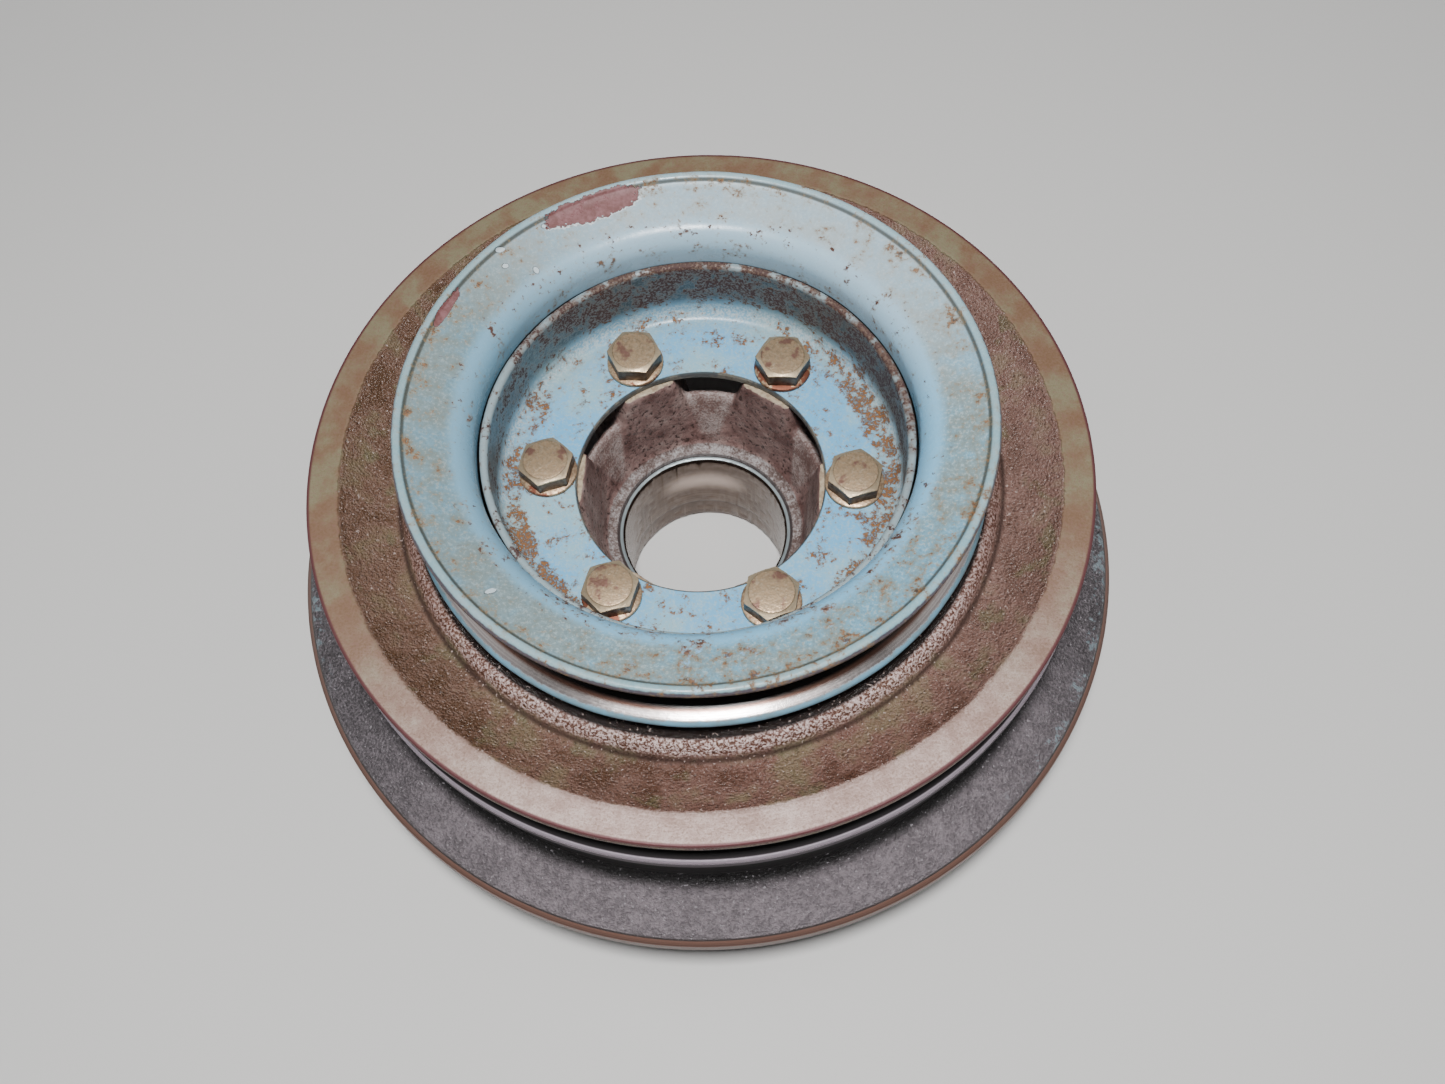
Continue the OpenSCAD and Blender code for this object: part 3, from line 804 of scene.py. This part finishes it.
def bolt_zinc(gold):
    """Yellow-passivated zinc on a cold-headed bolt: dull gold, with a painted highlight on the chamfer and
    painted shade on the flat sides.
    """
    material, tree, shader = new_material("yellow_zinc_bolt")
    coords, _radius, height = where(tree)
    patch = grain(tree, coords, 3.2, 4, 0.6)
    speck = grain(tree, coords, 1.0, 3, 0.6)
    fine = grain(tree, coords, 0.4, 2, 0.5)
    tone = mix(tree, fade(tree, speck, 0.4, 0.62), gold, "#9b866c")
    tone = mix(tree, both(tree, fade(tree, fine, 0.5, 0.65), 0.35), tone, "#d8c6ac")
    stain = both(tree, fade(tree, patch, 0.55, 0.64), above(tree, height, BOLT_TOP_Z - 0.5, 0.1))
    tone = mix(tree, both(tree, stain, 0.7), tone, "#7a4c4c")
    # Painted highlight: a pale band on the chamfer
    chamfer = between(tree, height, BOLT_TOP_Z - 0.75, BOLT_TOP_Z - 0.2, 0.08)
    tone = mix(tree, both(tree, chamfer, 0.5), tone, "#e2cfae")
    # Painted shade: the flat sides of the head made dark brown
    flat_shade = below(tree, height, BOLT_TOP_Z - 0.95, 0.12)
    flat_shade_tone = mix(tree, fade(tree, patch, 0.45, 0.6), "#3c2f28", "#57473b")
    tone = mix(tree, both(tree, flat_shade, 0.92), tone, flat_shade_tone)
    roughness = blend(tree, fade(tree, speck, 0.4, 0.65), 0.36, 0.52)
    shader.inputs["Metallic"].default_value = 0.7
    wire(tree, shader, tone, roughness, None, relief(tree, total(tree, (fine, 0.3), (speck, 0.5)), 0.1))
    return material


def washer_zinc():
    """Yellow-passivated zinc on a coned spring washer: worn bright on the cone, darker and browner at its
    lower edge.
    """
    material, tree, shader = new_material("yellow_zinc_washer")
    coords, _radius, height = where(tree)
    patch = grain(tree, coords, 4, 4, 0.6)
    fine = grain(tree, coords, 0.5, 2, 0.5)
    rusty = toward(tree, coords, 60, 0.9, 0.97)
    tone = mix(tree, fade(tree, fine, 0.4, 0.6), "#c6ac8c", "#a5876c")
    rust = fade(tree, calc(tree, "ADD", patch, both(tree, rusty, 0.1)), 0.56, 0.64)
    tone = mix(tree, rust, tone, "#7b4a38")
    tone = mix(tree, both(tree, below(tree, height, WEB_TOP_Z + 0.5, 0.15), 0.8), tone, "#5a4238")
    roughness = blend(tree, fade(tree, patch, 0.4, 0.65), 0.34, 0.55)
    shader.inputs["Metallic"].default_value = 0.7
    wire(tree, shader, tone, roughness, None, relief(tree, fine, 0.05))
    return material


# ---- Pieces ----


def groove_floor(front_z, rear_z):
    """The two rounded corners at the floor of one of the rim's belt grooves."""
    corner_r = RIM_R - GROOVE_DEPTH + GROOVE_CORNER
    inset = GROOVE_DEPTH * GROOVE_SLOPE + GROOVE_CORNER
    corners = arc(corner_r, front_z - inset, GROOVE_CORNER, 90 + GROOVE_HALF_ANGLE, 180, 3)
    return corners + arc(corner_r, rear_z + inset, GROOVE_CORNER, 180, 270 - GROOVE_HALF_ANGLE, 3)


def rim_section():
    """Front web, grooved rim and rear disc of the casting."""
    edge = 0.4
    flank_start = 90 - GROOVE_HALF_ANGLE
    rear = RIDGE_BOTTOM_Z - GROOVE_OPEN
    section = [(BOSS_IN_R, WEB_UNDER_Z)]
    section += arc(BOSS_IN_R + 1.2, BOSS_Z - 1.2, 1.2, 180, 90, 4)
    section += arc(BOSS_OUT_R - 2, BOSS_Z - 2, 2, 90, 20, 5)
    section += arc(BOSS_OUT_R + 2.2, DISH_Z + FOOT_R, FOOT_R, 210, 290, 6)
    section += dish_slope(*section[-1])
    section += [(BAND_IN_R, RIM_FACE_Z)]
    section += arc(RIM_R - edge, RIM_FACE_Z - edge, edge, 90, 0, 3)
    section += [(RIM_R, LAND_Z + 0.1), (RIM_R - 0.1, LAND_Z)]
    section += groove_floor(LAND_Z, RIDGE_TOP_Z)
    section += arc(RIM_R - edge, RIDGE_TOP_Z - edge, edge, flank_start, 0, 3)
    section += arc(RIM_R - edge, RIDGE_BOTTOM_Z + edge, edge, 0, -flank_start, 3)
    section += groove_floor(RIDGE_BOTTOM_Z, rear)
    section += [(REAR_LAND_R, rear + (RIM_R - REAR_LAND_R) * GROOVE_SLOPE)]
    section += arc(REAR_LAND_R + 3, REAR_LAND_Z, 3, 180, 250, 5)
    section += arc(DISC_R - 2.4, DISC_TOP_Z - 0.6, 0.8, 75, 45, 3)
    section += [(DISC_R - 0.1, DISC_TOP_Z - 1.6)]
    section += arc(DISC_R - edge, DISC_BOTTOM_Z + edge, edge, 0, -90, 3)
    section += [(CAVITY_R + 1, DISC_BOTTOM_Z), (CAVITY_R, DISC_BOTTOM_Z + 1)]
    section += arc(CAVITY_R - 4, WEB_UNDER_Z - 4, 4, 0, 90, 6)
    return section


def dish_slope(start_r, start_z, turn=11):
    """The dish's rise from its foot to the faced band; its slope turns through twice the given angle."""
    run, lift = BAND_IN_R - 0.2 - start_r, RIM_FACE_Z - 0.1 - start_z
    rise = math.degrees(math.atan2(lift, run))
    radius = math.hypot(run, lift) / (2 * math.sin(math.radians(turn)))
    low = math.radians(rise - turn)
    centre_r, centre_z = start_r - radius * math.sin(low), start_z + radius * math.cos(low)
    return arc(centre_r, centre_z, radius, 270 + rise - turn, 270 + rise + turn, 12)[1:]


def rough_skin(radius, height):
    """1 on the rim's sand-cast faces, which show the relief, and 0 on its turned ones."""
    flank_z = LAND_Z + (radius - RIM_R) * GROOVE_SLOPE
    dish = BOSS_IN_R + 0.4 < radius < BAND_IN_R - 0.4 and height > max(50, flank_z + 1)
    disc_top = 20 < height < 33 and REAR_LAND_R + 0.2 < radius < DISC_R - 2
    inside = radius < CAVITY_R + 0.5 and height < WEB_UNDER_Z + 1
    return 1.0 if dish or disc_top or inside else 0.0


def make_rim(grain_mm, height_mm):
    """The front web, grooved rim and rear disc: turned from one section, with a rough skin where as cast."""
    rim = spin_section("cast_rim", finer(rim_section(), RIM_FINENESS), RIM_STEPS)
    group_where(rim, "skin", rough_skin)
    roughen(rim, grain_mm, height_mm, "skin")
    smooth(rim)
    return rim


def make_hub():
    """The arms and hub: the CAD casting inside the boss ring, remeshed and softened as sand casting does."""
    deselect()
    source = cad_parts["pulley_casting"]
    hub = source.copy()
    hub.data = source.data.copy()
    hub.parent = None
    hub.name = "cast_hub"
    for key in list(hub.keys()):
        del hub[key]
    bpy.context.scene.collection.objects.link(hub)
    hub.hide_viewport = hub.hide_render = False
    hub.hide_set(False)
    edit(hub)
    bpy.ops.mesh.remove_doubles(threshold=0.005 * MM)
    close_edit()
    keep = cutter_cylinder("keep", HUB_OUT_R, -5, PAD_Z + 2)
    cut_with(hub, keep, "INTERSECT")
    apply_modifier(hub, "REMESH", mode="VOXEL", voxel_size=HUB_VOXEL * MM)
    apply_modifier(hub, "SMOOTH", factor=0.5, iterations=3)
    roughen(hub, HUB_GRAIN, HUB_RELIEF)
    machine_hub(hub)
    smooth(hub, 40)
    return hub


def cutter_cylinder(name, radius, low, high, sides=192):
    """A cylinder about the axis, from a low to a high level in millimetres."""
    deselect()
    height = (high - low) * MM
    bpy.ops.mesh.primitive_cylinder_add(
        vertices=sides, radius=radius * MM, depth=height, location=(0, 0, (low + high) / 2 * MM)
    )
    cutter = bpy.context.object
    cutter.name = name
    place_at_origin(cutter)
    return cutter


def cut_with(piece, cutter, operation="DIFFERENCE"):
    """Cuts a solid from a piece, or keeps what they share, or joins them, and deletes the solid."""
    apply_modifier(piece, "BOOLEAN", operation=operation, object=cutter, solver="EXACT")
    bpy.data.objects.remove(cutter)


def machine_hub(hub):
    """Faces the pads and the rear end, turns the ring, and bores the hub."""
    beyond, past = HUB_OUT_R + 11, 10
    cut_with(hub, cutter_cylinder("pad_facing", beyond, PAD_Z, PAD_Z + 2 * past))
    cut_with(hub, cutter_cylinder("rear_facing", beyond, -2 * past, 0))
    cut_with(hub, cutter_cylinder("ring_facing", RING_STEP_R, HUB_LEN, HUB_LEN + past))
    cut_with(hub, cutter_cylinder("bore", BORE_R, -past, HUB_LEN + past))
    cut_with(hub, cutter_cylinder("lead_in", LEAD_R, -past, LEAD_LEN))
    deselect()
    middle_r = (KEYWAY_IN_R + KEYWAY_OUT_R) / 2
    bpy.ops.mesh.primitive_cube_add(size=1, location=(0, -middle_r * MM, HUB_LEN / 2 * MM))
    key_slot = bpy.context.object
    key_slot.scale = (KEYWAY_W * MM, (KEYWAY_OUT_R - KEYWAY_IN_R) * MM, (HUB_LEN + 14) * MM)
    place_at_origin(key_slot)
    cut_with(hub, key_slot)


def make_cup(waviness_mm):
    """The mounting cup: a drawn cup with a rounded edge, a centre hole and six bolt holes."""
    edge = SHEET_T / 2
    chamfer = 0.3
    bend_r = CUP_R - CUP_BEND_R
    bend_z = PAD_Z + CUP_BEND_R
    section = [(WEB_HOLE_R + chamfer, PAD_Z)]
    section += arc(bend_r, bend_z, CUP_BEND_R, 270, 360, 10)
    section += arc(CUP_R - edge, CUP_HIGH.z - edge, edge, 0, 180, 8)
    section += arc(bend_r, bend_z, CUP_BEND_R - SHEET_T, 360, 270, 8)
    section += [(WEB_HOLE_R + chamfer, WEB_TOP_Z), (WEB_HOLE_R, WEB_TOP_Z - chamfer)]
    section += [(WEB_HOLE_R, PAD_Z + chamfer)]
    cup = spin_section("cup_pressing", finer(section, SHEET_FINENESS))
    for number in range(1, BOLT_COUNT + 1):
        hole = cutter_cylinder("bolt_hole", WEB_CLEARANCE_R, PAD_Z - 2, WEB_TOP_Z + 2, SHANK_SIDES)
        at_bolt(hole, number)
        cut_with(cup, hole)
    roughen(cup, CUP_WAVE, waviness_mm)
    smooth(cup)
    return cup


def make_front_half(waviness_mm):
    """The front sheave half: a neck, stepped where it meets the cup, a bend, a flank and a rolled lip."""
    flank_z = TOTAL_H - FLANK_DROP
    bend = 5.0
    bend_r = NECK_R + bend
    tilt = math.radians(GROOVE_HALF_ANGLE)
    tangent_r = bend_r - bend * math.sin(tilt)
    bend_z = flank_z - (CREASE_R - tangent_r) * GROOVE_SLOPE - bend * math.cos(tilt)
    outer = NECK_R + SHEET_T
    section = [(CUP_R + FIT_GAP, FRONT_LOW.z), (CUP_R + FIT_GAP, JOGGLE_Z), (NECK_R, JOGGLE_Z + 1)]
    section += arc(bend_r, bend_z, bend, 180, 90 + GROOVE_HALF_ANGLE, 12)
    section += [(CREASE_R - 0.1, flank_z - 0.1)]
    section += arc(SHEAVE_R - LIP_R, TOTAL_H - LIP_R, LIP_R, 155, -110, 18)
    section += arc(bend_r, bend_z, bend - SHEET_T, 90 + GROOVE_HALF_ANGLE, 180, 10)
    section += [(outer, JOGGLE_Z + 1), (outer, FRONT_LOW.z)]
    half = spin_section("front_pressing", finer(section, SHEET_FINENESS), SHEAVE_STEPS)
    roughen(half, SHEAVE_WAVE, waviness_mm)
    smooth(half)
    return half


def make_rear_half(waviness_mm):
    """The rear sheave half: a collar on the neck, a tight bend, a flank and a rolled lip."""
    collar = NECK_R + SHEET_T
    lip_c_r = SHEAVE_R - LIP_R
    bend = 1.6
    flank_z = REAR_LIP_Z + 0.9
    top_z = flank_z + (lip_c_r - collar - SHEET_T) * GROOVE_SLOPE
    drop = SHEET_T / math.cos(math.radians(GROOVE_HALF_ANGLE))
    section = [(collar + FIT_GAP, REAR_LOW.z)]
    section += arc(collar + bend + FIT_GAP, top_z - bend, bend, 180, 90 - GROOVE_HALF_ANGLE, 8)
    section += arc(lip_c_r, REAR_LIP_Z, LIP_R, 80, -150, 16)
    section += [(lip_c_r - LIP_R, flank_z - drop + LIP_R * GROOVE_SLOPE + 0.2)]
    section += [(collar + SHEET_T + 0.6, top_z - drop - 0.1), (collar + SHEET_T, top_z - drop - 0.8)]
    section += [(collar + SHEET_T, REAR_LOW.z)]
    half = spin_section("rear_pressing", finer(section, SHEET_FINENESS), SHEAVE_STEPS)
    roughen(half, SHEAVE_WAVE, waviness_mm)
    smooth(half)
    return half


def at_bolt(piece, number, turn=0.0):
    """Turns a fastener about its own axis, sets it on the bolt circle and puts its place in its mesh."""
    angle = math.tau * (number - 1) / BOLT_COUNT
    piece.rotation_euler = (0, 0, angle + math.radians(turn))
    piece.location = (BOLT_CIRCLE_R * math.cos(angle) * MM, BOLT_CIRCLE_R * math.sin(angle) * MM, 0)
    place_at_origin(piece)


def copy_to_bolt(master, name, number, turn=0.0):
    """A copy of a fastener with its own mesh, in its place on the bolt circle."""
    piece = master.copy()
    piece.data = master.data.copy()
    piece.name = name
    bpy.context.scene.collection.objects.link(piece)
    at_bolt(piece, number, turn)
    smooth(piece, 30)
    return piece


def make_washer():
    """A coned spring washer about the axis, with a rounded rim."""
    hole = SHANK_R + 0.25
    section = [(hole, WEB_TOP_Z + FIT_GAP)]
    section += arc(WASHER_R - 0.25, WEB_TOP_Z + 0.27, 0.25, -90, 0, 3)
    section += arc(WASHER_R - 0.3, WASHER_TOP_Z - 0.55, 0.3, 0, 80, 4)
    section += [(HEAD_FLAT_R, WASHER_TOP_Z), (hole, WASHER_TOP_Z)]
    return spin_section("washer_master", section, WASHER_STEPS)


def make_bolt():
    """A forged head with a chamfered round top, on a plain shank."""
    deselect()
    corner_r = HEAD_FLAT_R / math.cos(math.radians(30))
    head_h = BOLT_TOP_Z - WASHER_TOP_Z
    bpy.ops.mesh.primitive_cylinder_add(
        vertices=6,
        radius=corner_r * MM,
        depth=head_h * MM,
        location=(0, 0, (WASHER_TOP_Z + head_h / 2) * MM),
        rotation=(0, 0, math.radians(30)),
    )
    bolt = bpy.context.object
    bolt.name = "bolt_master"
    place_at_origin(bolt)
    apply_modifier(bolt, "BEVEL", width=0.12 * MM, segments=2, limit_method="ANGLE")
    cap = spin_section("cap", head_outline(corner_r), CAP_STEPS)
    cut_with(bolt, cap, "INTERSECT")
    shank = cutter_cylinder("shank", SHANK_R, BOLT_LOW.z, WASHER_TOP_Z + 1, SHANK_SIDES)
    apply_modifier(shank, "BEVEL", width=0.6 * MM, segments=2, limit_method="ANGLE")
    cut_with(bolt, shank, "UNION")
    return bolt


def head_outline(corner_r):
    """Solid of the head's turned top: a cone of about 30 degrees under a flat raised disc."""
    top = BOLT_TOP_Z
    outline = [(0, WASHER_TOP_Z - 1), (corner_r + 1, WASHER_TOP_Z - 1), (corner_r + 1, top - 1.3)]
    outline += [(corner_r, top - 0.85), (HEAD_FLAT_R - 0.35, top - 0.28), (HEAD_FLAT_R - 0.6, top - 0.05)]
    outline += [(HEAD_FLAT_R - 0.85, top), (0, top)]
    return outline


# ---- Settings, operators and panel ----


class PulleySettings(bpy.types.PropertyGroup):
    """Colours, as sRGB hex, and the sizes of the surface relief"""

    front_fresh: bpy.props.StringProperty(name="Front blue", description="Unfaded enamel", default="#76a5bc")
    front_faded: bpy.props.StringProperty(name="Faded blue", description="Faded enamel", default="#84989b")
    cup_fresh: bpy.props.StringProperty(name="Cup blue", description="Enamel in the cup", default="#6cb4e0")
    bolt_gold: bpy.props.StringProperty(name="Zinc gold", description="Yellow zinc", default="#c6a987")
    sand_grain: bpy.props.FloatProperty(
        name="Sand grain",
        description="Size of the lumps in the casting's skin",
        default=1.8 * MM,
        min=0.5 * MM,
        max=5 * MM,
        unit="LENGTH",
        precision=4,
    )
    sand_height: bpy.props.FloatProperty(
        name="Sand height",
        description="Height of the lumps in the casting's skin",
        default=0.45 * MM,
        min=0.0,
        max=1 * MM,
        unit="LENGTH",
        precision=5,
    )
    waviness: bpy.props.FloatProperty(
        name="Sheet waviness",
        description="How far the pressed sheets stray from true",
        default=0.28 * MM,
        min=0.0,
        max=0.6 * MM,
        unit="LENGTH",
        precision=5,
    )


class PULLEY_OT_casting(bpy.types.Operator):
    """Model the cast rim and the hub with its arms"""

    bl_idname = "pulley.casting"
    bl_label = "Casting"

    def execute(self, context):
        settings = context.scene.pulley_settings
        rim = make_rim(settings.sand_grain / MM, settings.sand_height / MM)
        hub = make_hub()
        finish_piece(rim, cast_iron(), "casting", "pulley_casting")
        finish_piece(hub, hub_iron(), "casting", "pulley_casting")
        return {"FINISHED"}


class PULLEY_OT_pressings(bpy.types.Operator):
    """Model the mounting cup and the two sheave halves"""

    bl_idname = "pulley.pressings"
    bl_label = "Pressings"

    def execute(self, context):
        settings = context.scene.pulley_settings
        waviness_mm = settings.waviness / MM
        front = front_enamel(settings.front_fresh, settings.front_faded)
        cup = cup_enamel(settings.cup_fresh)
        rear = rear_enamel(settings.front_fresh)
        finish_piece(make_cup(waviness_mm), cup, "cup_paint", "mounting_cup")
        finish_piece(make_front_half(waviness_mm), front, "front_paint", "front_sheave_half")
        finish_piece(make_rear_half(waviness_mm), rear, "rear_paint", "rear_sheave_half")
        return {"FINISHED"}


class PULLEY_OT_fasteners(bpy.types.Operator):
    """Model the six bolts and their washers"""

    bl_idname = "pulley.fasteners"
    bl_label = "Fasteners"

    def execute(self, context):
        gold = context.scene.pulley_settings.bolt_gold
        bolt_finish, washer_finish = bolt_zinc(gold), washer_zinc()
        bolt_master, washer_master = make_bolt(), make_washer()
        for number, turn in enumerate(BOLT_TURNS, 1):
            bolt = copy_to_bolt(bolt_master, f"hex_bolt_{number}", number, turn)
            washer = copy_to_bolt(washer_master, f"spring_washer_{number}", number)
            finish_piece(bolt, bolt_finish, "zinc_bolt", f"bolt_{number}")
            finish_piece(washer, washer_finish, "zinc_washer", f"washer_{number}")
        for master in (bolt_master, washer_master):
            bpy.data.objects.remove(master)
        return {"FINISHED"}


class PULLEY_OT_stage(bpy.types.Operator):
    """Set the pale floor, the soft studio lights and the camera"""

    bl_idname = "pulley.stage"
    bl_label = "Stage"

    def execute(self, context):
        make_floor()
        make_lights()
        make_camera()
        return {"FINISHED"}


def make_floor():
    """A plain pale floor, 6 m wide, just under the part."""
    deselect()
    bpy.ops.mesh.primitive_plane_add(size=6, location=(0, 0, -0.2 * MM))
    floor = bpy.context.object
    floor.name = "floor"
    material, _tree, shader = new_material("pale_floor")
    shader.inputs["Base Color"].default_value = linear("#d9d8d6")
    shader.inputs["Roughness"].default_value = 0.7
    floor.data.materials.append(material)


def area_light(name, place, target, size, power):
    """A square soft light of a size in metres and a power in watts, aimed at a target."""
    deselect()
    bpy.ops.object.light_add(type="AREA", location=place)
    light = bpy.context.object
    light.name = name
    light.data.size = size
    light.data.energy = power
    light.rotation_euler = (Vector(target) - Vector(place)).to_track_quat("-Z", "Y").to_euler()


def make_lights():
    """A small key light over the camera, two large fills and a dim sky."""
    area_light("key", (0.015, -0.138, 0.60), (0, 0, 0.04), 0.10, 4.6)
    area_light("fill_left", (-0.9, 0.1, 0.9), (0, 0, 0.03), 0.9, 1.6)
    area_light("fill_right", (0.9, 0.3, 0.9), (0, 0, 0.03), 0.9, 1.6)
    world = bpy.data.worlds.new("studio")
    world.use_nodes = True
    world.node_tree.nodes["Background"].inputs["Color"].default_value = linear("#e8e8ea")
    world.node_tree.nodes["Background"].inputs["Strength"].default_value = 0.09
    bpy.context.scene.world = world


def make_camera():
    """Looks down from 64 degrees above the floor, from the keyway's side, through a wide lens."""
    place = Vector((0.01936, -0.13774, 0.29934))
    target = Vector((0.00505, -0.01203, 0.045))
    roll = math.radians(-3.53)
    deselect()
    bpy.ops.object.camera_add(location=place)
    camera = bpy.context.object
    turn = (target - place).to_track_quat("-Z", "Y").to_matrix()
    spin = turn @ Matrix.Rotation(roll, 3, "Z")
    camera.rotation_euler = spin.to_euler()
    camera.data.lens = 34.88
    camera.data.clip_start = 0.01
    bpy.context.scene.camera = camera


class PULLEY_PT_panel(bpy.types.Panel):
    """The settings and the steps that build the pulley"""

    bl_label = "Pulley"
    bl_idname = "PULLEY_PT_panel"
    bl_space_type = "VIEW_3D"
    bl_region_type = "UI"
    bl_category = "Pulley"

    def draw(self, context):
        for name in PulleySettings.__annotations__:
            self.layout.prop(context.scene.pulley_settings, name)
        for operator in OPERATORS:
            self.layout.operator(operator.bl_idname)


OPERATORS = (PULLEY_OT_casting, PULLEY_OT_pressings, PULLEY_OT_fasteners, PULLEY_OT_stage)
CLASSES = (PulleySettings, *OPERATORS, PULLEY_PT_panel)


def register():
    for cls in CLASSES:
        bpy.utils.register_class(cls)
    bpy.types.Scene.pulley_settings = bpy.props.PointerProperty(type=PulleySettings)


def unregister():
    del bpy.types.Scene.pulley_settings
    for cls in reversed(CLASSES):
        bpy.utils.unregister_class(cls)


def main():
    """Builds everything."""
    register()
    bpy.ops.pulley.stage()
    bpy.ops.pulley.casting()
    bpy.ops.pulley.pressings()
    bpy.ops.pulley.fasteners()


if __name__ == "__main__":
    main()
